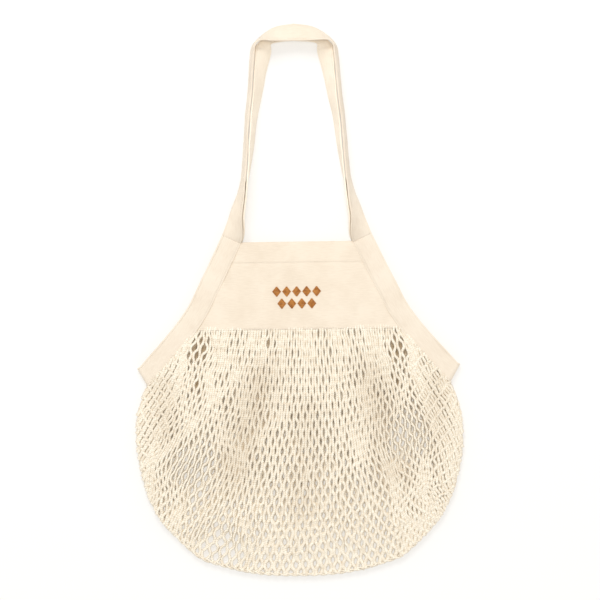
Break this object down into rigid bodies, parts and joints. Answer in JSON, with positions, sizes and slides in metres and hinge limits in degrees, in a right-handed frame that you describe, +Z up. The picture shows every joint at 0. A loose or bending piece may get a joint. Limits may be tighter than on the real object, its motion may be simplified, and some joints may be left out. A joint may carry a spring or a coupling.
{
  "type": "net shopping bag",
  "caption": "Cotton net shopping bag lying flat, with canvas yokes at the mouth, bound sides and long shoulder straps.",
  "frame": {"origin": "middle of the bag's outline on the surface it lies on", "axes": "+Y from the net towards the straps, +X across the bag, +Z up from the surface it lies on"},
  "size_m": [0.3912, 0.665, 0.028],
  "materials": {
    "canvas": "matte unbleached cotton canvas",
    "tape": "matte folded and stitched cotton canvas tape",
    "net": "matte knotted unbleached cotton yarn"
  },
  "bodies": {
    "root": {"panel_front": "canvas", "panel_back": "canvas", "side_band_right": "tape", "side_band_left": "tape", "strap_front": "tape", "strap_back": "tape", "net_bag": "net"}
  },
  "joints": []
}
